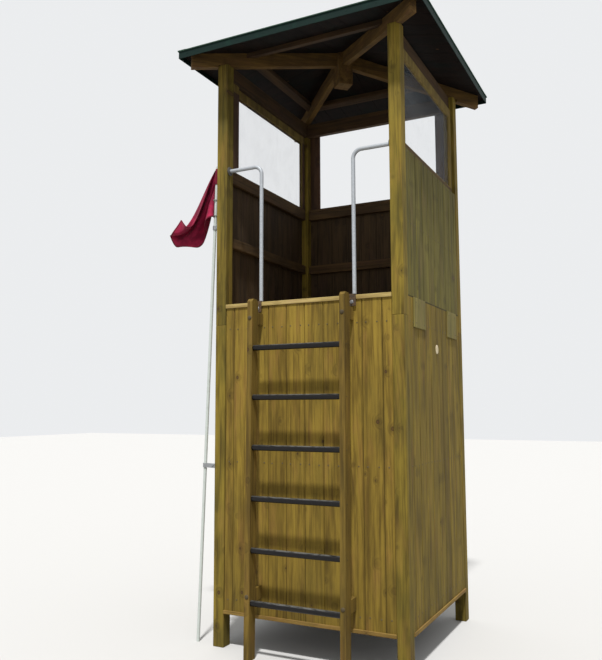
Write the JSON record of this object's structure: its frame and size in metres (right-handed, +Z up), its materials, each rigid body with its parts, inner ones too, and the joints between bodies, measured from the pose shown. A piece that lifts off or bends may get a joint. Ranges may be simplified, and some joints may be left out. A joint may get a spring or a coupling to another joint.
{
  "type": "beach lifeguard tower",
  "caption": "Timber beach lifeguard tower: boarded box on legs, fixed ladder, open-fronted look-out cabin with hand rails, low hipped green roof and a red flag.",
  "frame": {"origin": "middle of the square that the four legs stand on, level with the undersides of the feet", "axes": "+X to the right along the ladder side, +Y from the ladder side to the back, +Z up"},
  "size_m": [2.001, 1.76, 4.2356],
  "materials": {
    "honey_timber": "impregnated pine, honey to olive, weathered matt",
    "side_boarding": "impregnated pine boarding, brown olive, matt",
    "frame_timber": "sawn pine framing, brown, matt",
    "roof_timber": "stained roof boards, dark brown, matt",
    "roof_green": "dark green mineral-faced roofing, matt",
    "green_trim": "green coated sheet metal, satin",
    "clear_sheet": "clear acrylic sheet, lightly dusty",
    "dark_rung": "dark coated rung, worn on top",
    "grey_tube": "galvanised tube, satin",
    "dark_steel": "dark fixing plate, matt",
    "white_pole": "white painted tube, satin",
    "zinc_clip": "zinc plated, satin",
    "red_cloth": "crimson flag cloth"
  },
  "bodies": {
    "root": {"lower_post_front_left": "honey_timber", "lower_post_front_right": "honey_timber", "lower_post_back_left": "honey_timber", "lower_post_back_right": "honey_timber", "upper_post_front_left": "honey_timber", "upper_post_front_right": "honey_timber", "upper_post_back_left": "honey_timber", "upper_post_back_right": "honey_timber", "front_wall": "honey_timber", "left_wall": "side_boarding", "right_wall": "side_boarding", "back_wall": "side_boarding", "wall_rails": "frame_timber", "left_waist_wall": "side_boarding", "right_waist_wall": "side_boarding", "back_waist_wall": "side_boarding", "waist_rails": "frame_timber", "waist_sills": "frame_timber", "seam_cleats": "honey_timber", "front_cap": "honey_timber", "foot_battens": "honey_timber", "floor_joists": "frame_timber", "floor_boards": "honey_timber", "window_frame_left": "frame_timber", "window_frame_right": "frame_timber", "window_sheets": "clear_sheet", "rear_jambs": "frame_timber", "wall_plates": "honey_timber", "hip_rafters": "honey_timber", "king_block": "honey_timber", "roof_purlins": "honey_timber", "roof_boards": "roof_timber", "roof_cover": "roof_green", "eave_strips": "green_trim", "hip_trims": "green_trim", "peak_cap": "green_trim", "ladder_rail_left": "honey_timber", "ladder_rail_right": "honey_timber", "ladder_rungs": "dark_rung", "ladder_spacers": "honey_timber", "hand_rail_left": "grey_tube", "hand_rail_right": "grey_tube", "hand_rail_feet": "dark_steel", "flag_pole": "white_pole", "pole_clips": "zinc_clip", "flag": "red_cloth"}
  },
  "joints": []
}
